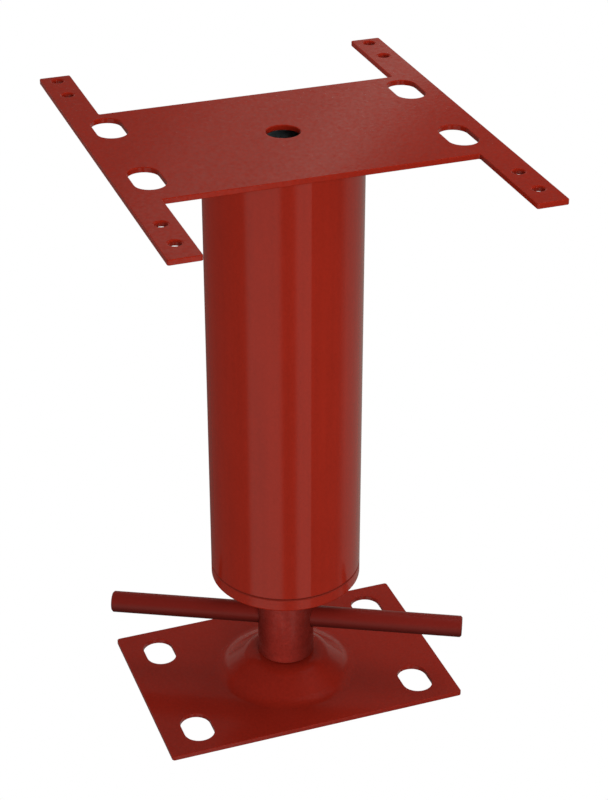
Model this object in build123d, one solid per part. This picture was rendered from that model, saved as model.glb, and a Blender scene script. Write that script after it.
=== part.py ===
from build123d import *
import math
import os

# A short adjustable steel jack post, fully lowered. A pressed base plate stands on the floor
# and carries an upright screw, which a cross bar turns. A round steel column rides on the
# screw by the nut in its lower end, and an H-shaped plate on the column's top meets the beam.
# Millimetres. Z is up, X runs along the top plate's long bars, and the origin is on the floor
# under the screw's axis.

# The whole post
LOWERED_HEIGHT = 304.8
SCREW_TRAVEL = 101.6

# Top plate: two bars along X, joined by a web that carries the column
TOP_PLATE_THICKNESS = 2.66
TOP_PLATE_WIDTH = 177.8
TOP_BAR_LENGTH = 219.0
TOP_BAR_WIDTH = 15.2
TOP_BAR_OFFSET = 4.3
TOP_WEB_LENGTH = 104.4
TOP_WEB_OFFSET = 2.8
TOP_SLOT_WIDTH = 14.2
TOP_SLOT_LENGTH = 25.4
TOP_SLOT_END_MARGIN = 8.4
CENTRE_HOLE_DIA = 16.0
NAIL_HOLE_DIA = 5.4
NAIL_RIM_RADIUS = 1.0
NAIL_END_MARGIN = 10.5
NAIL_PITCH = 19.9

# Base plate: a rectangle with a round boss pressed up in its middle
BASE_THICKNESS = 2.66
BASE_LENGTH_X = 105.5
BASE_LENGTH_Y = 157.0
BASE_SLOT_WIDTH = 15.5
BASE_SLOT_LENGTH = 22.2
BASE_SLOT_END_MARGIN = 7.65
BASE_SLOT_SIDE_MARGIN = 10.95
BOSS_RISE = 11.3
BOSS_TOP_DIA = 32.0
BOSS_FOOT_DIA = 75.0
BOSS_FLANK_STEEPNESS = 1.37

# Column and the nut in its lower end
TUBE_DIA = 76.2
TUBE_WALL = 2.77
FLANGE_THICKNESS = 6.9
SPIGOT_LENGTH = 20.0
WELD_LEG = 4.5

# Screw, with its turning bar
SHANK_DIA = 29.0
SHANK_LENGTH = 49.6
THREAD_DIA = 28.6
THREAD_SPARE = 3.0
PILOT_DIA = 16.0
PEENED_HEAD_DIA = 22.0
PEENED_HEAD_THICKNESS = 3.4
BAR_DIA = 11.1
BAR_LENGTH = 184.2
BAR_RISE = 21.6
BAR_ANGLE = 63.0

# Clearances, each on one side
PILOT_CLEARANCE = 0.05
THREAD_CLEARANCE = 0.05
FOOT_CLEARANCE = 0.05
SHOULDER_CLEARANCE = 0.3
PEENED_HEAD_CLEARANCE = 0.2
CROSS_HOLE_CLEARANCE = 0.3
SPIGOT_CLEARANCE = 0.05

# Corners and edges
TOP_CORNER_RADIUS = 1.0
BASE_CORNER_RADIUS = 1.5
NOTCH_RADIUS = 0.8
SHEET_EDGE_RADIUS = 0.4
JOINT_CHAMFER = 0.6
RIM_RADIUS = 1.0
BORE_CHAMFER = 1.0
SCREW_END_CHAMFER = 2.0
SHANK_CHAMFER = 0.6
BAR_CHAMFER = 0.8

# Heights above the floor
BOSS_TOP_Z = BASE_THICKNESS + BOSS_RISE
SHANK_BOTTOM_Z = BOSS_TOP_Z + FOOT_CLEARANCE
SHANK_TOP_Z = SHANK_BOTTOM_Z + SHANK_LENGTH
NUT_BOTTOM_Z = SHANK_TOP_Z + SHOULDER_CLEARANCE
TUBE_BOTTOM_Z = NUT_BOTTOM_Z + FLANGE_THICKNESS
NUT_TOP_Z = TUBE_BOTTOM_Z + SPIGOT_LENGTH
SCREW_TOP_Z = NUT_TOP_Z + SCREW_TRAVEL + THREAD_SPARE
TUBE_TOP_Z = LOWERED_HEIGHT - TOP_PLATE_THICKNESS
BAR_Z = BOSS_TOP_Z + BAR_RISE


def upright(radius, bottom_z, top_z):
    """A solid cylinder on the Z axis between two heights."""
    height = top_z - bottom_z
    return Pos(0, 0, bottom_z + height / 2) * Cylinder(radius, height)


def slots_along_x(length, width, spacing_x, spacing_y):
    """Four slots on a rectangle, each running along X."""
    return GridLocations(spacing_x, spacing_y, 2, 2) * SlotOverall(length, width)


def rounded_sheet(outline, bottom_z, thickness):
    """A flat sheet with the outline's shape, its cut edges a little rounded."""
    sheet = Pos(0, 0, bottom_z) * extrude(outline, amount=thickness)
    faces = sheet.faces().filter_by(Axis.Z)
    return fillet(faces.edges(), SHEET_EDGE_RADIUS)


def nail_rims(plate):
    """The nail holes' round edges, in groups by height, the lowest first."""
    circles = plate.edges().filter_by(GeomType.CIRCLE)
    return circles.filter_by(lambda edge: math.isclose(edge.radius, NAIL_HOLE_DIA / 2)).group_by(Axis.Z)


def make_top_plate():
    """The H-shaped sheet. The holes are centred on the column, and the outline sits off centre.

    The nail holes are punched from above, which leaves their upper rims rounder.
    """
    bar_y = (TOP_PLATE_WIDTH - TOP_BAR_WIDTH) / 2
    bar = Rectangle(TOP_BAR_LENGTH, TOP_BAR_WIDTH)
    bars = [Pos(TOP_BAR_OFFSET, side * bar_y) * bar for side in (-1, 1)]
    web = Pos(TOP_WEB_OFFSET, 0) * Rectangle(TOP_WEB_LENGTH, TOP_PLATE_WIDTH - TOP_BAR_WIDTH)
    outline = web + bars
    notch_y = TOP_PLATE_WIDTH / 2 - TOP_BAR_WIDTH
    corners = outline.vertices().group_by(Axis.X)
    outline = fillet(corners[1] + corners[-2], NOTCH_RADIUS)
    corners = outline.vertices().group_by(Axis.X)
    outline = fillet(corners[0] + corners[-1], TOP_CORNER_RADIUS)
    slot_spacing = TOP_WEB_LENGTH - TOP_SLOT_LENGTH - 2 * TOP_SLOT_END_MARGIN
    outline -= slots_along_x(TOP_SLOT_LENGTH, TOP_SLOT_WIDTH, slot_spacing, 2 * notch_y)
    outline -= Circle(CENTRE_HOLE_DIA / 2)
    plate = rounded_sheet(outline, TUBE_TOP_Z, TOP_PLATE_THICKNESS)
    nail_hole = upright(NAIL_HOLE_DIA / 2, TUBE_TOP_Z, LOWERED_HEIGHT)
    outer_spacing = TOP_BAR_LENGTH - 2 * NAIL_END_MARGIN
    for spacing in (outer_spacing, outer_spacing - 2 * NAIL_PITCH):
        plate -= GridLocations(spacing, 2 * bar_y, 2, 2) * nail_hole
    plate = fillet(nail_rims(plate)[-1], NAIL_RIM_RADIUS)
    return fillet(nail_rims(plate)[0], SHEET_EDGE_RADIUS)


def boss_curve(offset, inner_radius):
    """The boss's section line from its hole to its foot: two equal arcs joined by a straight flank.

    The offset moves the line down through the sheet. BOSS_FLANK_STEEPNESS is the flank's angle
    over the mean slope.
    """
    run = (BOSS_FOOT_DIA - BOSS_TOP_DIA) / 2
    turn = BOSS_FLANK_STEEPNESS * math.atan2(BOSS_RISE, run)
    drop = 1 - math.cos(turn)
    radius = (run * math.sin(turn) - BOSS_RISE * math.cos(turn)) / (2 * drop)
    flank_length = BOSS_RISE * math.sin(turn) / drop - run
    top_z = BOSS_TOP_Z - offset
    top = Line((inner_radius, top_z), (BOSS_TOP_DIA / 2, top_z))
    shoulder = JernArc(top @ 1, top % 1, radius - offset, -math.degrees(turn))
    flank = PolarLine(shoulder @ 1, flank_length, direction=shoulder % 1)
    foot = JernArc(flank @ 1, flank % 1, radius + offset, math.degrees(turn))
    return top + shoulder + flank + foot


def make_base_plate():
    """The base sheet: flat, with four slots, and a boss that stands up around the screw's pilot."""
    outline = RectangleRounded(BASE_LENGTH_X, BASE_LENGTH_Y, BASE_CORNER_RADIUS)
    spacing_x = BASE_LENGTH_X - BASE_SLOT_LENGTH - 2 * BASE_SLOT_END_MARGIN
    spacing_y = BASE_LENGTH_Y - BASE_SLOT_WIDTH - 2 * BASE_SLOT_SIDE_MARGIN
    outline -= slots_along_x(BASE_SLOT_LENGTH, BASE_SLOT_WIDTH, spacing_x, spacing_y)
    sheet = rounded_sheet(outline, 0, BASE_THICKNESS)
    hole_radius = PILOT_DIA / 2 + PILOT_CLEARANCE
    upper = boss_curve(0, hole_radius)
    lower = boss_curve(BASE_THICKNESS, hole_radius)
    hole_wall = Line(upper @ 0, lower @ 0)
    foot_wall = Line(upper @ 1, lower @ 1)
    section = Plane.XZ * make_face([*upper.edges(), *lower.edges(), hole_wall, foot_wall])
    boss = revolve(section, Axis.Z)
    return sheet - upright(BOSS_FOOT_DIA / 2, 0, BASE_THICKNESS) + boss


def make_column_tube():
    """The round column, from the nut's flange to the top plate."""
    wall = upright(TUBE_DIA / 2, TUBE_BOTTOM_Z, TUBE_TOP_Z)
    wall -= upright(TUBE_DIA / 2 - TUBE_WALL, TUBE_BOTTOM_Z, TUBE_TOP_Z)
    lower_rim = wall.edges().group_by(Axis.Z)[0].sort_by(SortBy.RADIUS)[-1]
    return chamfer(lower_rim, JOINT_CHAMFER)


def make_top_weld():
    """The fillet weld in the corner between the column and the top plate."""
    radius = TUBE_DIA / 2
    corners = [(radius, TUBE_TOP_Z), (radius + WELD_LEG, TUBE_TOP_Z), (radius, TUBE_TOP_Z - WELD_LEG)]
    section = Plane.XZ * make_face(Polyline(*corners, close=True))
    return revolve(section, Axis.Z)


def circles_by_radius(solid):
    """The solid's circular edges in groups of one radius, the narrowest first."""
    return solid.edges().filter_by(GeomType.CIRCLE).group_by(SortBy.RADIUS)


def make_end_nut():
    """The nut: a flange as wide as the column, and a spigot inside it, bored for the screw."""
    nut = upright(TUBE_DIA / 2, NUT_BOTTOM_Z, TUBE_BOTTOM_Z)
    nut += upright(TUBE_DIA / 2 - TUBE_WALL - SPIGOT_CLEARANCE, TUBE_BOTTOM_Z, NUT_TOP_Z)
    nut -= upright(THREAD_DIA / 2 + THREAD_CLEARANCE, NUT_BOTTOM_Z, NUT_TOP_Z)
    nut = chamfer(circles_by_radius(nut)[0], BORE_CHAMFER)
    nut = chamfer(circles_by_radius(nut)[-1].sort_by(Axis.Z)[-1], JOINT_CHAMFER)
    return fillet(circles_by_radius(nut)[-1].sort_by(Axis.Z)[0], RIM_RADIUS)


def turning_bar_place():
    """Where the turning bar lies: through the shank, flat, at its angle about the screw."""
    return Pos(0, 0, BAR_Z) * Rot(0, 0, BAR_ANGLE) * Rot(0, 90, 0)


def make_screw():
    """The screw: thread at its major diameter, plain shank, pilot and peened head."""
    thread = upright(THREAD_DIA / 2, SHANK_TOP_Z, SCREW_TOP_Z)
    thread = chamfer(thread.edges().group_by(Axis.Z)[-1], SCREW_END_CHAMFER)
    shank = upright(SHANK_DIA / 2, SHANK_BOTTOM_Z, SHANK_TOP_Z)
    shank = chamfer(shank.edges().filter_by(GeomType.CIRCLE), SHANK_CHAMFER)
    head_top_z = BOSS_TOP_Z - BASE_THICKNESS - PEENED_HEAD_CLEARANCE
    head_bottom_z = head_top_z - PEENED_HEAD_THICKNESS
    head = upright(PEENED_HEAD_DIA / 2, head_bottom_z, head_top_z)
    head = fillet(head.edges().group_by(Axis.Z)[0], PEENED_HEAD_THICKNESS / 2)
    screw = thread + shank + upright(PILOT_DIA / 2, head_top_z, SHANK_BOTTOM_Z) + head
    hole = turning_bar_place() * Cylinder(BAR_DIA / 2 + CROSS_HOLE_CLEARANCE, 2 * SHANK_DIA)
    return screw - hole


def make_turning_bar():
    """The plain rod that turns the screw, with chamfered ends."""
    bar = Cylinder(BAR_DIA / 2, BAR_LENGTH)
    bar = chamfer(bar.edges().filter_by(GeomType.CIRCLE), BAR_CHAMFER)
    return turning_bar_place() * bar


PARTS = {
    "top_plate": make_top_plate,
    "column_tube": make_column_tube,
    "top_weld": make_top_weld,
    "end_nut": make_end_nut,
    "screw": make_screw,
    "turning_bar": make_turning_bar,
    "base_plate": make_base_plate,
}

os.makedirs("parts", exist_ok=True)
for node, make in PARTS.items():
    export_step(make(), f"parts/{node}.step")
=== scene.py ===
import math

import bmesh
import bpy
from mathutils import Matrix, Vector


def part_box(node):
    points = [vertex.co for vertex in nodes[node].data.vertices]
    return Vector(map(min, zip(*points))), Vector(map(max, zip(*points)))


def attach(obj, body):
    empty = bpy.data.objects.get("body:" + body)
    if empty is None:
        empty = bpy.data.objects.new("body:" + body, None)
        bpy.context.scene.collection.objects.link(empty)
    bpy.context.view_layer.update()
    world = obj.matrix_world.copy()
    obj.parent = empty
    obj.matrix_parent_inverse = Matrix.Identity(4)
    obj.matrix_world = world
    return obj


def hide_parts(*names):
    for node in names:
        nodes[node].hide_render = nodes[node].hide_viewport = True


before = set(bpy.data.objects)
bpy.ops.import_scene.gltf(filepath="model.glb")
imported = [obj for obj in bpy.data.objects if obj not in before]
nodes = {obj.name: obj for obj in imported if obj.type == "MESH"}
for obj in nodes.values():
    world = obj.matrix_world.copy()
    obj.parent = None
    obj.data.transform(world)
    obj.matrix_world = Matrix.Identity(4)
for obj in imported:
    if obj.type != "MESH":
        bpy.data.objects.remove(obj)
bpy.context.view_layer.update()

MM = 0.001

# The base plate
# One sheet of steel, blanked with four slots and pressed up in the middle into a round boss. It is
# sprayed with glossy red enamel, which pulls thin over the cut edges and dries in a fine orange peel.

RED_ENAMEL = (0.275, 0.0135, 0.0048, 1)
THIN_ENAMEL = (0.42, 0.033, 0.014, 1)
# The base plate's red is set darker than the other pieces' red, as painted shade under the top plate
BASE_SHADED_ENAMEL = (0.218, 0.0120, 0.0058, 1)
ENAMEL_IOR = 1.5

# Sizes in the sprayed film, in millimetres
SHEET_PEEL = 2.2
SHEET_BLOTCH = 16.0
GRAIN_SIZE = 1.4
STREAK_SIZE = 3.0
SKIN_PATCH = 1.8
EDGE_WIDTH = 0.5
EDGE_PATCH = 3.0

# How the streaks are drawn out in height, and how much rougher the palest blotches are
STREAK_STRETCH = (1, 1, 0.03)
HAZE = 0.04

# The least wear along an edge, the most of its colour that is thin enamel, and the mask's samples
EDGE_LEAST = 0.4
EDGE_SHARE = 0.15
EDGE_SAMPLES = 4

# How strongly the film itself still mirrors under the clear skin
UNDER_SKIN = 0.15


def feed(tree, socket, value):
    """Gives a socket its value, which is a plain one or another node's output."""
    if isinstance(value, bpy.types.NodeSocket):
        tree.links.new(value, socket)
    else:
        socket.default_value = value


def new_node(tree, kind, settings=None, **inputs):
    """A node with its settings, and with its inputs by their names, spaces as underscores."""
    node = tree.nodes.new(kind)
    for name, value in (settings or {}).items():
        setattr(node, name, value)
    for name, value in inputs.items():
        feed(tree, node.inputs[name.replace("_", " ")], value)
    return node


def calc(tree, operation, *values):
    """A math node's result. Each value is a number or another node's output."""
    node = new_node(tree, "ShaderNodeMath", {"operation": operation})
    for socket, value in zip(node.inputs, values):
        feed(tree, socket, value)
    return node.outputs[0]


def clamp(tree, value):
    """The value, held between 0 and 1."""
    return new_node(tree, "ShaderNodeClamp", Value=value).outputs[0]


def swing(tree, value, amount):
    """A value from 0 to 1 made to swing about 0, by the amount from end to end."""
    return calc(tree, "MULTIPLY", calc(tree, "SUBTRACT", value, 0.5), amount)


def dot(tree, first, second):
    """The dot product of two vectors."""
    node = new_node(tree, "ShaderNodeVectorMath", {"operation": "DOT_PRODUCT"})
    for socket, value in zip(node.inputs, (first, second)):
        feed(tree, socket, value)
    return node.outputs["Value"]


def own_place(tree):
    """Each point's place on the piece, in the piece's own coordinates."""
    return tree.nodes.new("ShaderNodeTexCoord").outputs["Object"]


def noise(tree, place, size_mm, detail, stretch=(1, 1, 1)):
    """Noise with blotches of about the given size, from 0 to 1. Over 1, a stretch makes them smaller."""
    mapping = new_node(tree, "ShaderNodeMapping", Vector=place, Scale=stretch)
    scale = calc(tree, "DIVIDE", 1 / MM, size_mm)
    texture = new_node(tree, "ShaderNodeTexNoise", Vector=mapping.outputs[0], Scale=scale, Detail=detail)
    return texture.outputs["Fac"]


def mix_colour(tree, share, first, second):
    """The second colour over the first, by the share."""
    node = new_node(tree, "ShaderNodeMix", {"data_type": "RGBA"})
    for socket, value in zip((node.inputs[0], node.inputs[6], node.inputs[7]), (share, first, second)):
        feed(tree, socket, value)
    return node.outputs[2]


def new_group(name, kind, inputs, outputs):
    """A node group with named sockets, as (tree, its input sockets, its output node)."""
    tree = bpy.data.node_groups.new(name, kind)
    for label, socket_type, value in inputs:
        socket = tree.interface.new_socket(label, in_out="INPUT", socket_type=socket_type)
        if value is not None:
            socket.default_value = value
    for label, socket_type in outputs:
        tree.interface.new_socket(label, in_out="OUTPUT", socket_type=socket_type)
    entry = tree.nodes.new("NodeGroupInput")
    leave = tree.nodes.new("NodeGroupOutput")
    return tree, entry.outputs, leave


def build_enamel_film():
    """Sprayed enamel: blotches of thicker and thinner paint, grain, streaks and orange peel."""
    tree, given, leave = new_group(
        "enamel film",
        "ShaderNodeTree",
        [
            ("Colour", "NodeSocketColor", RED_ENAMEL),
            ("Blotch Size", "NodeSocketFloat", 14.0),
            ("Blotch Depth", "NodeSocketFloat", 0.10),
            ("Peel Size", "NodeSocketFloat", 2.0),
            ("Peel Height", "NodeSocketFloat", 0.03),
            ("Streaks", "NodeSocketFloat", 0.0),
            ("Grain", "NodeSocketFloat", 0.40),
            ("Gloss", "NodeSocketFloat", 0.16),
        ],
        [
            ("Colour", "NodeSocketColor"),
            ("Roughness", "NodeSocketFloat"),
            ("Normal", "NodeSocketVector"),
        ],
    )
    place = own_place(tree)
    blotch = noise(tree, place, given["Blotch Size"], detail=5)
    grain = noise(tree, place, GRAIN_SIZE, detail=3)
    streak = noise(tree, place, STREAK_SIZE, detail=2, stretch=STREAK_STRETCH)
    shade = swing(tree, blotch, given["Blotch Depth"])
    shade = calc(tree, "ADD", shade, swing(tree, grain, given["Grain"]))
    shade = calc(tree, "ADD", shade, swing(tree, streak, given["Streaks"]))
    value = calc(tree, "ADD", shade, 1.0)
    tone = new_node(tree, "ShaderNodeHueSaturation", Color=given["Colour"], Value=value)
    tree.links.new(tone.outputs[0], leave.inputs["Colour"])
    haze = calc(tree, "MULTIPLY", blotch, HAZE)
    tree.links.new(calc(tree, "ADD", given["Gloss"], haze), leave.inputs["Roughness"])
    peel = noise(tree, place, given["Peel Size"], detail=1)
    height = calc(tree, "MULTIPLY", given["Peel Height"], MM)
    bump = new_node(tree, "ShaderNodeBump", Strength=1, Distance=height, Height=peel)
    tree.links.new(bump.outputs[0], leave.inputs["Normal"])
    return tree


def build_edge_mask():
    """Where the surface turns over a corner within the given width: 1 on the corner, 0 away from it."""
    tree, given, leave = new_group(
        "edge mask",
        "ShaderNodeTree",
        [("Width", "NodeSocketFloat", EDGE_WIDTH), ("Contrast", "NodeSocketFloat", 4.0)],
        [("Mask", "NodeSocketFloat")],
    )
    radius = calc(tree, "MULTIPLY", given["Width"], MM)
    rounded = new_node(tree, "ShaderNodeBevel", {"samples": EDGE_SAMPLES}, Radius=radius).outputs[0]
    flat = tree.nodes.new("ShaderNodeNewGeometry").outputs["Normal"]
    turn = calc(tree, "SUBTRACT", 1.0, dot(tree, rounded, flat))
    turn = calc(tree, "MULTIPLY", turn, given["Contrast"])
    broken = calc(tree, "ADD", EDGE_LEAST, noise(tree, own_place(tree), EDGE_PATCH, detail=4))
    tree.links.new(clamp(tree, calc(tree, "MULTIPLY", turn, broken)), leave.inputs["Mask"])
    return tree


enamel_film = build_enamel_film()
edge_mask = build_edge_mask()


def new_material(name):
    """An empty material, as (material, its tree, its Principled node)."""
    material = bpy.data.materials.new(name)
    material.use_nodes = True
    tree = material.node_tree
    return material, tree, tree.nodes["Principled BSDF"]


def enamel(name, colour=RED_ENAMEL, **film_values):
    """Enamel on steel, thin along the edges, with the film's own values for this piece."""
    material, tree, shader = new_material(name)
    film = new_node(tree, "ShaderNodeGroup", {"node_tree": enamel_film}, Colour=colour, **film_values)
    edges = new_node(tree, "ShaderNodeGroup", {"node_tree": edge_mask}, Width=EDGE_WIDTH)
    thin = calc(tree, "MULTIPLY", edges.outputs["Mask"], EDGE_SHARE)
    shade = mix_colour(tree, thin, film.outputs["Colour"], THIN_ENAMEL)
    tree.links.new(shade, shader.inputs["Base Color"])
    tree.links.new(film.outputs["Roughness"], shader.inputs["Roughness"])
    tree.links.new(film.outputs["Normal"], shader.inputs["Normal"])
    shader.inputs["IOR"].default_value = ENAMEL_IOR
    return material


def break_gloss(material, grain, gloss):
    """Splits the mirror between the film and a clear skin, which is stronger in some patches."""
    tree = material.node_tree
    shader = tree.nodes["Principled BSDF"]
    patches = noise(tree, own_place(tree), SKIN_PATCH, detail=3)
    skin = clamp(tree, calc(tree, "ADD", 0.5, swing(tree, patches, grain)))
    tree.links.new(skin, shader.inputs["Coat Weight"])
    shader.inputs["Coat Roughness"].default_value = gloss
    shader.inputs["Specular IOR Level"].default_value = UNDER_SKIN


def paint(node, material):
    """Gives a CAD node's object the material."""
    nodes[node].data.materials.clear()
    nodes[node].data.materials.append(material)


base_enamel_and_shade = enamel(
    "base_enamel_and_shade", BASE_SHADED_ENAMEL, Peel_Size=SHEET_PEEL, Blotch_Size=SHEET_BLOTCH, Gloss=0.09
)
break_gloss(base_enamel_and_shade, grain=1.1, gloss=0.2)
paint("base_plate", base_enamel_and_shade)

# The screw
# One turned steel piece: a pilot through the base plate's boss, a plain shank with the cross hole,
# and the threaded shaft in the column. The shank is painted with the rest. The thread never is: it
# was run up inside the column before spraying, and carries a film of oil.

# The shank's red has more green and blue than the column's, as a painted reflection
SHANK_ENAMEL_AND_REFLECTION = (0.285, 0.024, 0.016, 1)
# The colour of the painted shade on the shank's sides and the bar's underside
PAINTED_SHADE = (0.05, 0.004, 0.0025, 1)
OILED_STEEL = (0.60, 0.58, 0.54, 1)
THICK_OIL = (0.32, 0.29, 0.26, 1)

SHANK_RADIUS = 14.5 * MM
SHOULDER_CLEARANCE = 0.3 * MM
END_GAP = 0.01 * MM
SAME_POINT = 1e-6

THREAD_RADIUS = 14.3 * MM
THREAD_LEAD = 5.08 * MM
THREAD_DEPTH = 2.6 * MM
CREST_WIDTH = 1.88 * MM
ROOT_WIDTH = 3.2 * MM

# The shank carries painted shade except on two opposite faces, which read as a painted highlight.
# These are the azimuth of the faces, the share of painted shade between them, how much less of it
# there is on them, and how sharply it changes.
LIT_FACE_AZIMUTH = 61
SHANK_SIDE_SHADE = 0.77
FACE_SHADE_LESS = 0.60
FACE_FADE = 4

# The oil's patches and the tool's lines, in millimetres, both flattened to run round the shaft
OIL_PATCH = 6.0
OIL_STRETCH = (1, 1, 2)
LINE_SIZE = 0.5
LINE_STRETCH = (0.2, 0.2, 4)
LINE_HEIGHT = 0.01 * MM
STEEL_GLOSS = 0.22
OIL_HAZE = 0.25


def direction(azimuth, elevation=0.0):
    """The unit vector at an azimuth in degrees from -Y towards +X, and at an elevation."""
    turn = math.radians(azimuth)
    rise = math.radians(elevation)
    return Vector((math.sin(turn) * math.cos(rise), -math.cos(turn) * math.cos(rise), math.sin(rise)))


def shade_by_angle(mesh, degrees):
    """Smooth shading, with hard edges where faces meet at more than the angle."""
    mesh.shade_smooth()
    mesh.set_sharp_from_angle(angle=math.radians(degrees))


def new_piece(name, mesh, body, material):
    """Puts a finished mesh in the scene as a piece on a body, all of it in one material."""
    piece = bpy.data.objects.new(name, mesh)
    bpy.context.scene.collection.objects.link(piece)
    mesh.materials.clear()
    mesh.materials.append(material)
    mesh.polygons.foreach_set("material_index", [0] * len(mesh.polygons))
    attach(piece, body)
    return piece


def cut_off_above(node, height, name):
    """A merged copy of a CAD node's mesh, cut level at the height and closed there."""
    shape = bmesh.new()
    shape.from_mesh(nodes[node].data)
    bmesh.ops.remove_doubles(shape, verts=shape.verts, dist=SAME_POINT)
    cut = bmesh.ops.bisect_plane(
        shape,
        geom=[*shape.verts, *shape.edges, *shape.faces],
        plane_co=(0, 0, height),
        plane_no=(0, 0, 1),
        clear_outer=True,
    )
    rim = [item for item in cut["geom_cut"] if isinstance(item, bmesh.types.BMEdge)]
    bmesh.ops.holes_fill(shape, edges=rim)
    mesh = bpy.data.meshes.new(name)
    shape.to_mesh(mesh)
    shape.free()
    return mesh


def lift(tree, geometry, height):
    """Geometry moved up by the height."""
    place = new_node(tree, "ShaderNodeCombineXYZ", Z=height)
    move = new_node(tree, "GeometryNodeTransform", Geometry=geometry, Translation=place.outputs[0])
    return move.outputs[0]


def finish_tree(tree, geometry, material, leave):
    """Ends a tree with real geometry and its material."""
    real = new_node(tree, "GeometryNodeRealizeInstances", Geometry=geometry)
    dressed = new_node(tree, "GeometryNodeSetMaterial", Geometry=real.outputs[0], Material=material)
    tree.links.new(dressed.outputs[0], leave.inputs[0])


def build_thread_tree():
    """A trapezoid ridge wound round a root cylinder, from the bottom to the top height."""
    tree, given, leave = new_group(
        "screw thread",
        "GeometryNodeTree",
        [
            ("Root Radius", "NodeSocketFloat", 0.0117),
            ("Bottom", "NodeSocketFloat", 0.0),
            ("Top", "NodeSocketFloat", 0.1),
            ("Lead", "NodeSocketFloat", 0.005),
            ("Depth", "NodeSocketFloat", 0.0025),
            ("Crest Width", "NodeSocketFloat", 0.0019),
            ("Root Width", "NodeSocketFloat", 0.0032),
            ("Steps", "NodeSocketInt", 64),
            ("Material", "NodeSocketMaterial", None),
        ],
        [("Geometry", "NodeSocketGeometry")],
    )
    length = calc(tree, "SUBTRACT", given["Top"], given["Bottom"])
    wound = calc(tree, "SUBTRACT", length, given["Root Width"])

    helix = new_node(
        tree,
        "GeometryNodeCurveSpiral",
        Resolution=given["Steps"],
        Rotations=calc(tree, "DIVIDE", wound, given["Lead"]),
        Start_Radius=given["Root Radius"],
        End_Radius=given["Root Radius"],
        Height=wound,
        Reverse=True,
    )
    upright = new_node(tree, "GeometryNodeSetCurveNormal", {"mode": "Z_UP"}, Curve=helix.outputs[0])

    ridge = new_node(
        tree,
        "GeometryNodeCurvePrimitiveQuadrilateral",
        {"mode": "TRAPEZOID"},
        Bottom_Width=given["Root Width"],
        Top_Width=given["Crest Width"],
        Height=given["Depth"],
        Offset=0,
    )
    standing = new_node(tree, "ShaderNodeCombineXYZ", X=calc(tree, "MULTIPLY", given["Depth"], 0.5))
    outward = new_node(
        tree,
        "GeometryNodeTransform",
        Geometry=ridge.outputs[0],
        Translation=standing.outputs[0],
        Rotation=(0, 0, math.radians(-90)),
    )
    sweep = new_node(
        tree,
        "GeometryNodeCurveToMesh",
        Curve=upright.outputs[0],
        Profile_Curve=outward.outputs[0],
        Fill_Caps=True,
    )
    root = new_node(
        tree,
        "GeometryNodeMeshCylinder",
        Vertices=given["Steps"],
        Radius=given["Root Radius"],
        Depth=length,
    )

    half_root = calc(tree, "MULTIPLY", given["Root Width"], 0.5)
    half_length = calc(tree, "MULTIPLY", length, 0.5)
    raised_ridge = lift(tree, sweep.outputs[0], calc(tree, "ADD", given["Bottom"], half_root))
    raised_root = lift(tree, root.outputs["Mesh"], calc(tree, "ADD", given["Bottom"], half_length))
    join = tree.nodes.new("GeometryNodeJoinGeometry")
    tree.links.new(raised_ridge, join.inputs[0])
    tree.links.new(raised_root, join.inputs[0])
    finish_tree(tree, join.outputs[0], given["Material"], leave)
    return tree


def grow(name, tree, **values):
    """Runs a tree with the given inputs, named with spaces as underscores, and returns its mesh."""
    holder = bpy.data.objects.new(name + "_holder", bpy.data.meshes.new(name + "_holder"))
    bpy.context.scene.collection.objects.link(holder)
    modifier = holder.modifiers.new("grow", "NODES")
    modifier.node_group = tree
    sockets = {item.name: item.identifier for item in tree.interface.items_tree if item.in_out == "INPUT"}
    for label, value in values.items():
        modifier[sockets[label.replace("_", " ")]] = value
    evaluated = holder.evaluated_get(bpy.context.evaluated_depsgraph_get())
    mesh = bpy.data.meshes.new_from_object(evaluated)
    mesh.name = name
    holder.modifiers.clear()
    bpy.data.objects.remove(holder)
    return mesh


def mix_in(material, share, colour, matt=False):
    """Mixes a colour over the material's own by the share, and dulls the gloss with it if it is matt."""
    tree = material.node_tree
    shader = tree.nodes["Principled BSDF"]
    base = shader.inputs["Base Color"]
    tree.links.new(mix_colour(tree, share, base.links[0].from_socket, colour), base)
    if matt:
        roughness = shader.inputs["Roughness"]
        tree.links.new(calc(tree, "MAXIMUM", roughness.links[0].from_socket, share), roughness)


def paint_side_shade(material, azimuth, radius):
    """Paints shade on a round piece, less so on the two faces along the azimuth, which read as a painted
    highlight.
    """
    tree = material.node_tree
    across = dot(tree, own_place(tree), direction(azimuth) / radius)
    facing = calc(tree, "POWER", calc(tree, "ABSOLUTE", across), FACE_FADE)
    share = calc(tree, "SUBTRACT", SHANK_SIDE_SHADE, calc(tree, "MULTIPLY", facing, FACE_SHADE_LESS))
    mix_in(material, clamp(tree, share), PAINTED_SHADE)


def oiled_steel():
    """Machined steel with fine lines round the shaft, under oil that is darker where it is thick."""
    material, tree, shader = new_material("oiled_steel")
    place = own_place(tree)
    film = noise(tree, place, OIL_PATCH, detail=4, stretch=OIL_STRETCH)
    lines = noise(tree, place, LINE_SIZE, detail=2, stretch=LINE_STRETCH)
    tree.links.new(mix_colour(tree, film, OILED_STEEL, THICK_OIL), shader.inputs["Base Color"])
    haze = calc(tree, "MULTIPLY", film, OIL_HAZE)
    tree.links.new(calc(tree, "ADD", STEEL_GLOSS, haze), shader.inputs["Roughness"])
    bump = new_node(tree, "ShaderNodeBump", Distance=LINE_HEIGHT, Height=lines)
    tree.links.new(bump.outputs[0], shader.inputs["Normal"])
    shader.inputs["Metallic"].default_value = 1
    return material


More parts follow.
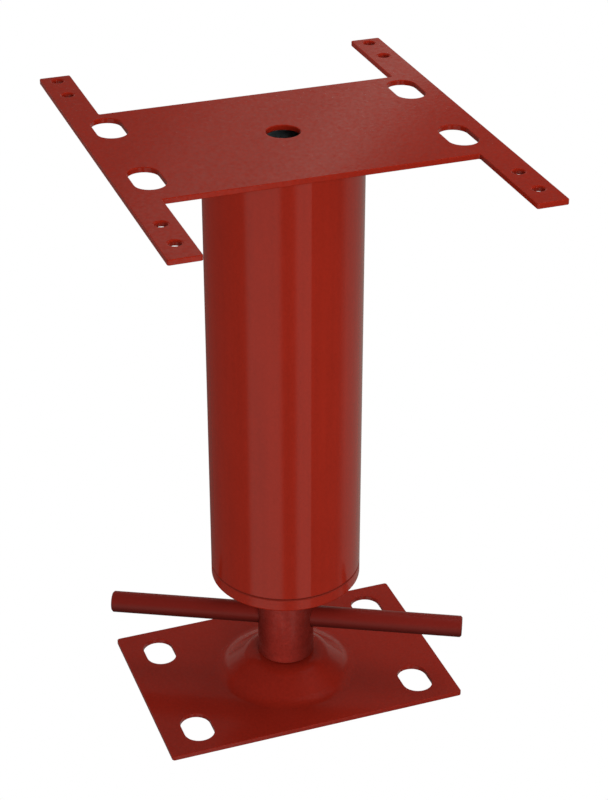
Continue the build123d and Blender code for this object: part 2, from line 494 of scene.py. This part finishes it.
shank_enamel_and_painted_light = enamel(
    "shank_enamel_and_painted_light", SHANK_ENAMEL_AND_REFLECTION, Blotch_Size=5.0, Blotch_Depth=0.7, Grain=0.5, Peel_Size=1.2, Gloss=0.30
)
break_gloss(shank_enamel_and_painted_light, grain=2.0, gloss=0.30)
# Painted shade on the shank's sides, with a painted highlight on two opposite faces
paint_side_shade(shank_enamel_and_painted_light, LIT_FACE_AZIMUTH, SHANK_RADIUS)
shoulder_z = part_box("end_nut")[0].z - SHOULDER_CLEARANCE
shank_mesh = cut_off_above("screw", shoulder_z - END_GAP, "screw_shank")
shade_by_angle(shank_mesh, degrees=25)
screw_shank = new_piece("screw_shank", shank_mesh, "screw", shank_enamel_and_painted_light)

thread_steel = oiled_steel()
thread_mesh = grow(
    "screw_thread",
    build_thread_tree(),
    Root_Radius=THREAD_RADIUS - THREAD_DEPTH,
    Bottom=shoulder_z,
    Top=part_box("screw")[1].z,
    Lead=THREAD_LEAD,
    Depth=THREAD_DEPTH,
    Crest_Width=CREST_WIDTH,
    Root_Width=ROOT_WIDTH,
    Material=thread_steel,
)
shade_by_angle(thread_mesh, degrees=30)
new_piece("screw_thread", thread_mesh, "screw", thread_steel)
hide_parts("screw")

# The turning bar
# A plain round steel rod with chamfered ends, loose in the shank's cross hole. It is painted with
# the rest. Its red is set darker than the column's as painted shade, and its underside carries
# more painted shade and is matt.

# The bar's red is set darker than the column's, as painted shade
BAR_SHADED_ENAMEL = (0.16, 0.011, 0.0070, 1)
BAR_SPECULAR = 0.3

# The painted shade on the underside starts this far above the bar's middle and is full this far
# under it, in radii
SHADE_START = 0.5
SHADE_FULL = 0.4
UNDERSIDE_SHADE = 0.8


def paint_underside_shade(material, node):
    """Paints shade, and dulls the gloss, from a little above the node's middle height to a little under
    it.
    """
    low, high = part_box(node)
    middle = (low.z + high.z) / 2
    reach = (high.z - low.z) / 2
    tree = material.node_tree
    height = new_node(tree, "ShaderNodeSeparateXYZ", Vector=own_place(tree)).outputs["Z"]
    share = new_node(
        tree,
        "ShaderNodeMapRange",
        Value=height,
        From_Min=middle + SHADE_START * reach,
        From_Max=middle - SHADE_FULL * reach,
        To_Max=UNDERSIDE_SHADE,
    )
    mix_in(material, share.outputs[0], PAINTED_SHADE, matt=True)


bar_enamel_and_shade = enamel("bar_enamel_and_shade", BAR_SHADED_ENAMEL, Blotch_Size=20.0, Peel_Size=3.0, Grain=0.15, Gloss=0.28)
# Painted shade on the bar's underside
paint_underside_shade(bar_enamel_and_shade, "turning_bar")
bar_enamel_and_shade.node_tree.nodes["Principled BSDF"].inputs["Specular IOR Level"].default_value = BAR_SPECULAR
paint("turning_bar", bar_enamel_and_shade)

# The nut in the column's lower end
# One casting: a flange as wide as the column, and a spigot that is pressed into it. The enamel
# covers the flange, where the cast skin shows as fine pits and lumps. The joint carries a band of
# painted shade.

# The colour of the painted shade in the seam's groove
SEAM_SHADE = (0.13, 0.008, 0.003, 1)


def build_seam_mask():
    """A level band round the piece, full at the height and gone at the given distance from it."""
    tree, given, leave = new_group(
        "seam mask",
        "ShaderNodeTree",
        [("Height", "NodeSocketFloat", 0.07), ("Reach", "NodeSocketFloat", 1.0)],
        [("Mask", "NodeSocketFloat")],
    )
    height = new_node(tree, "ShaderNodeSeparateXYZ", Vector=own_place(tree)).outputs["Z"]
    away = calc(tree, "ABSOLUTE", calc(tree, "SUBTRACT", height, given["Height"]))
    share = calc(tree, "DIVIDE", away, calc(tree, "MULTIPLY", given["Reach"], MM))
    tree.links.new(clamp(tree, calc(tree, "SUBTRACT", 1.0, share)), leave.inputs["Mask"])
    return tree


seam_mask = build_seam_mask()


def paint_seam_shade(material, height):
    """Paints shade, and dulls the gloss, along a seam at the height."""
    seam = new_node(material.node_tree, "ShaderNodeGroup", {"node_tree": seam_mask}, Height=height)
    mix_in(material, seam.outputs["Mask"], SEAM_SHADE, matt=True)


joint_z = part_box("column_tube")[0].z
cast_enamel = enamel("cast_enamel", Peel_Size=1.6, Peel_Height=0.03, Gloss=0.22)
paint_seam_shade(cast_enamel, joint_z)
paint("end_nut", cast_enamel)

# The column
# A length of round welded steel tube, cut square. The drawn surface is smooth, so the enamel shows
# long clean reflections down its whole height. Its inside is left bare, under dull mill scale.

MILL_SCALE = (0.26, 0.33, 0.35, 1)

# The enamel reaches this far in from the column's outer surface
ENAMEL_REACH = 1.0 * MM


def bare_inside(material, radius):
    """Mill scale in place of enamel, within the radius round the column's axis."""
    tree = material.node_tree
    place = new_node(tree, "ShaderNodeSeparateXYZ", Vector=own_place(tree)).outputs
    across = calc(tree, "MULTIPLY", place["X"], place["X"])
    along = calc(tree, "MULTIPLY", place["Y"], place["Y"])
    inside = calc(tree, "LESS_THAN", calc(tree, "ADD", across, along), radius**2)
    mix_in(material, inside, MILL_SCALE)


column_enamel = enamel(
    "column_enamel", Peel_Size=3.0, Peel_Height=0.018, Streaks=0.18, Grain=0.25, Gloss=0.14
)
column_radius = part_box("column_tube")[1].x
paint_seam_shade(column_enamel, joint_z)
bare_inside(column_enamel, column_radius - ENAMEL_REACH)
paint("column_tube", column_enamel)

# The weld under the top plate
# A fillet bead laid round the column in one pass, in overlapping ripples. It is painted over with
# the rest.

# A ripple's distance from the next and its own half length along the bead
RIPPLE_PITCH = 2.4 * MM
RIPPLE_LENGTH = 0.9 * RIPPLE_PITCH

# The bead's half width, and how far its middle is from the corner, as shares of the weld's leg
BEAD_WIDTH = 0.78
BEAD_INSET = 0.25

# A ripple's facets, and its least and greatest size by chance
RIPPLE_SEGMENTS = 14
RIPPLE_RINGS = 8
RIPPLE_LEAST = 0.92
RIPPLE_MOST = 1.06


def build_bead_tree():
    """Overlapping round ripples on a ring in the corner under a plate."""
    tree, given, leave = new_group(
        "weld bead",
        "GeometryNodeTree",
        [
            ("Ring Radius", "NodeSocketFloat", 0.04),
            ("Height", "NodeSocketFloat", 0.3),
            ("Ripples", "NodeSocketInt", 90),
            ("Ripple Size", "NodeSocketVector", (0.0035, 0.002, 0.0035)),
            ("Seed", "NodeSocketInt", 7),
            ("Material", "NodeSocketMaterial", None),
        ],
        [("Geometry", "NodeSocketGeometry")],
    )
    ring = new_node(
        tree,
        "GeometryNodeCurvePrimitiveCircle",
        Resolution=given["Ripples"],
        Radius=given["Ring Radius"],
    )
    raised_ring = lift(tree, ring.outputs[0], given["Height"])
    points = new_node(tree, "GeometryNodeCurveToPoints", {"mode": "EVALUATED"}, Curve=raised_ring)

    ripple = new_node(
        tree,
        "GeometryNodeMeshUVSphere",
        Segments=RIPPLE_SEGMENTS,
        Rings=RIPPLE_RINGS,
        Radius=1,
    )
    jitter = new_node(tree, "FunctionNodeRandomValue", {"data_type": "FLOAT"}, Seed=given["Seed"])
    jitter.inputs[2].default_value = RIPPLE_LEAST
    jitter.inputs[3].default_value = RIPPLE_MOST
    size = new_node(tree, "ShaderNodeVectorMath", {"operation": "SCALE"}, Scale=jitter.outputs[1])
    tree.links.new(given["Ripple Size"], size.inputs[0])
    laid = new_node(
        tree,
        "GeometryNodeInstanceOnPoints",
        Points=points.outputs["Points"],
        Instance=ripple.outputs["Mesh"],
        Rotation=points.outputs["Rotation"],
        Scale=size.outputs[0],
    )
    finish_tree(tree, laid.outputs[0], given["Material"], leave)
    return tree


weld_low, weld_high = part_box("top_weld")
weld_leg = weld_high.z - weld_low.z
bead_radius = column_radius + weld_leg * BEAD_INSET
weld_enamel = enamel("weld_enamel", Peel_Size=1.0, Peel_Height=0.01, Gloss=0.2)
bead_mesh = grow(
    "weld_bead",
    build_bead_tree(),
    Ring_Radius=bead_radius,
    Height=weld_high.z - weld_leg * BEAD_INSET,
    Ripples=round(2 * math.pi * bead_radius / RIPPLE_PITCH),
    Ripple_Size=(weld_leg * BEAD_WIDTH, weld_leg * BEAD_WIDTH, RIPPLE_LENGTH),
    Seed=7,
    Material=weld_enamel,
)
shade_by_angle(bead_mesh, degrees=40)
weld_bead = new_piece("weld_bead", bead_mesh, "column", weld_enamel)
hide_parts("top_weld")

# The top plate
# One sheet of the same steel, blanked to an H with four slots, a hole over the column and eight
# nail holes, and welded on the column's upper end.

PLATE_ENAMEL = (0.256, 0.0124, 0.0045, 1)

plate_enamel = enamel(
    "plate_enamel", PLATE_ENAMEL, Peel_Size=SHEET_PEEL, Blotch_Size=SHEET_BLOTCH, Gloss=0.07
)
break_gloss(plate_enamel, grain=1.6, gloss=0.09)
paint("top_plate", plate_enamel)

# The studio
# A pale floor, plain grey light all round, and broad lamps in front, at the left, low behind and
# overhead. The gloss mirrors none of them, but a ring of grey and pale screens.

WHITE = (1, 1, 1, 1)
FLOOR_PALE = (0.33, 0.33, 0.33, 1)
SCREEN_COLOUR = (1.0, 0.96, 0.86, 1)
PLAIN_LIGHT = 0.27
FLOOR_HALF = 6.0
FLOOR_DROP = 0.02 * MM

# Each screen's azimuth in degrees from +X towards +Y, its half width, its soft edge and its level
LOW_SCREENS = [
    (-49.0, 25.0, 3.5, 0.42),
    (8.5, 10.5, 3.0, 0.42),
    (117.0, 42.0, 10.0, 0.22),
]

# The same for the screens above the horizon, which lean, so that the azimuth is taken less LEAN
# times the elevation
HIGH_SCREENS = [
    (141.8, 3.4, 1.2, 0.13),
    (140.2, 0.9, 0.5, 0.16),
]
LEAN = 0.857

# The levels of the grey bands between and round the screens, from straight down to straight up
PIT_GREY = 0.03
LOW_GREY = 0.09
BACKDROP = 0.27
HIGH_GREY = 0.10
ROOF_GREY = 0.13
TOP_GREY = 0.02

# The elevations in degrees over which each band fades in
PIT_FADE = (-38, -50)
BACKDROP_FADE = (17, 12)
ROOF_FADE = (26, 31)
TOP_FADE = (46, 54)

# Over these elevations all but what is straight behind the post turns as dark as the top. The edge
# of that is given as cosines of the angle from straight behind.
BEHIND = 160
SIDE_RISE = (17, 22)
SIDE_FADE = (0.82, 0.5)

# Each lamp's azimuth and elevation in degrees and its distance from the middle of the post, its
# width and height in metres, and its power in watts
MIDDLE = Vector((0, 0, 0.15))
LAMPS = {
    "front": (90, 16, 1.8, 1.0, 1.0, 25.5),
    "left": (-37, 8, 1.8, 2.0, 0.6, 20.5),
    "back": (250, 6, 1.8, 1.0, 1.0, 15),
    "roof": (190, 66, 0.86, 0.9, 0.5, 4.4),
}


def step(tree, value, start, end):
    """A soft step from 0 where the value is the start to 1 where it is the end."""
    smooth = {"interpolation_type": "SMOOTHSTEP"}
    node = new_node(tree, "ShaderNodeMapRange", smooth, Value=value, From_Min=start, From_Max=end)
    return node.outputs[0]


def blend(tree, share, first, second):
    """A value from the first to the second, by the share."""
    span = calc(tree, "SUBTRACT", second, first)
    return calc(tree, "ADD", first, calc(tree, "MULTIPLY", span, share))


def screens(tree, azimuth, rows, ground):
    """The level of a ring of screens, by azimuth in degrees, each added to the ground between them."""
    level = ground
    for centre, half_width, soft, added in rows:
        away = calc(tree, "ABSOLUTE", calc(tree, "SUBTRACT", azimuth, centre))
        inside = step(tree, away, half_width + soft, half_width - soft)
        level = calc(tree, "ADD", calc(tree, "MULTIPLY", inside, added), level)
    return level


def low_level(tree, azimuth, elevation):
    """The level that the gloss meets under the horizon."""
    level = screens(tree, azimuth, LOW_SCREENS, LOW_GREY)
    return blend(tree, step(tree, elevation, *PIT_FADE), level, PIT_GREY)


def high_level(tree, azimuth, elevation):
    """The level that the gloss meets above the horizon."""
    leaning = calc(tree, "SUBTRACT", azimuth, calc(tree, "MULTIPLY", elevation, LEAN))
    level = screens(tree, leaning, HIGH_SCREENS, HIGH_GREY)
    level = blend(tree, step(tree, elevation, *ROOF_FADE), level, ROOF_GREY)
    level = blend(tree, step(tree, elevation, *BACKDROP_FADE), level, BACKDROP)
    level = blend(tree, step(tree, elevation, *TOP_FADE), level, TOP_GREY)
    from_behind = calc(tree, "RADIANS", calc(tree, "SUBTRACT", azimuth, BEHIND))
    beside = step(tree, calc(tree, "COSINE", from_behind), *SIDE_FADE)
    beside = calc(tree, "MULTIPLY", beside, step(tree, elevation, *SIDE_RISE))
    return blend(tree, beside, level, TOP_GREY)


def mix_shaders(tree, share, first, second):
    """The second shader in place of the first, by the share."""
    node = tree.nodes.new("ShaderNodeMixShader")
    for socket, value in zip(node.inputs, (share, first, second)):
        tree.links.new(value, socket)
    return node.outputs[0]


def build_world():
    """White to the camera, plain grey to the matt light, and screens to the gloss."""
    world = bpy.data.worlds.new("studio")
    world.use_nodes = True
    world.cycles.sampling_method = "NONE"
    tree = world.node_tree
    towards = tree.nodes.new("ShaderNodeTexCoord").outputs["Generated"]
    parts = new_node(tree, "ShaderNodeSeparateXYZ", Vector=towards).outputs
    azimuth = calc(tree, "DEGREES", calc(tree, "ARCTAN2", parts["Y"], parts["X"]))
    elevation = calc(tree, "DEGREES", calc(tree, "ARCSINE", parts["Z"]))
    above = calc(tree, "GREATER_THAN", elevation, 0.0)
    low = low_level(tree, azimuth, elevation)
    high = high_level(tree, azimuth, elevation)
    level = blend(tree, above, low, high)
    gloss = new_node(tree, "ShaderNodeBackground", Color=SCREEN_COLOUR, Strength=level)
    plain = new_node(tree, "ShaderNodeBackground", Color=WHITE, Strength=PLAIN_LIGHT)
    white = new_node(tree, "ShaderNodeBackground", Color=WHITE)
    path = tree.nodes.new("ShaderNodeLightPath").outputs
    unseen = mix_shaders(tree, path["Is Glossy Ray"], plain.outputs[0], gloss.outputs[0])
    seen = mix_shaders(tree, path["Is Camera Ray"], unseen, white.outputs[0])
    tree.links.new(seen, tree.nodes["World Output"].inputs["Surface"])
    return world


def floor_material():
    """Matt floor that glows white to the camera, and is clear to the gloss and from beneath."""
    material, tree, shader = new_material("floor")
    tree.nodes.remove(shader)
    matt = new_node(tree, "ShaderNodeBsdfDiffuse", Color=FLOOR_PALE)
    glow = new_node(tree, "ShaderNodeEmission", Color=WHITE)
    clear = tree.nodes.new("ShaderNodeBsdfTransparent")
    path = tree.nodes.new("ShaderNodeLightPath").outputs
    beneath = tree.nodes.new("ShaderNodeNewGeometry").outputs["Backfacing"]
    unseen = calc(tree, "MAXIMUM", path["Is Glossy Ray"], beneath)
    lit = mix_shaders(tree, path["Is Camera Ray"], matt.outputs[0], glow.outputs[0])
    surface = mix_shaders(tree, unseen, lit, clear.outputs[0])
    tree.links.new(surface, tree.nodes["Material Output"].inputs["Surface"])
    return material


def build_floor():
    """A flat square floor just under the base plate."""
    mesh = bpy.data.meshes.new("floor")
    corners = [(-1, -1), (1, -1), (1, 1), (-1, 1)]
    mesh.from_pydata([(x * FLOOR_HALF, y * FLOOR_HALF, 0) for x, y in corners], [], [(0, 1, 2, 3)])
    mesh.materials.append(floor_material())
    floor = bpy.data.objects.new("floor", mesh)
    bpy.context.scene.collection.objects.link(floor)
    floor.location.z = -FLOOR_DROP


def softbox(name, azimuth, elevation, distance, width, height, power):
    """A broad area lamp that faces the middle of the post and doesn't show in the gloss."""
    lamp = bpy.data.lights.new(name, "AREA")
    lamp.shape = "RECTANGLE"
    lamp.size = width
    lamp.size_y = height
    lamp.energy = power
    box = bpy.data.objects.new(name, lamp)
    bpy.context.scene.collection.objects.link(box)
    away = direction(azimuth, elevation)
    box.location = MIDDLE + away * distance
    box.rotation_mode = "QUATERNION"
    box.rotation_quaternion = away.to_track_quat("Z", "Y")
    box.visible_glossy = False


bpy.context.scene.world = build_world()
build_floor()
for lamp_name, lamp_values in LAMPS.items():
    softbox(lamp_name, *lamp_values)

# The camera
# It looks down on the post from in front of the top plate's bars, with the photograph's framing.

CAMERA_AZIMUTH = 70.10
CAMERA_ELEVATION = 29.37
CAMERA_DISTANCE = 991.2 * MM
AIM = Vector((-2.32, 10.99, 160.52)) * MM
FOCAL_LENGTH = 90.09

camera_data = bpy.data.cameras.new("camera")
camera_data.lens = FOCAL_LENGTH
camera = bpy.data.objects.new("camera", camera_data)
bpy.context.scene.collection.objects.link(camera)
to_camera = direction(CAMERA_AZIMUTH, CAMERA_ELEVATION)
camera.location = AIM + to_camera * CAMERA_DISTANCE
camera.rotation_mode = "QUATERNION"
camera.rotation_quaternion = (-to_camera).to_track_quat("-Z", "Y")
bpy.context.scene.camera = camera
bpy.context.scene.view_settings.view_transform = "Standard"
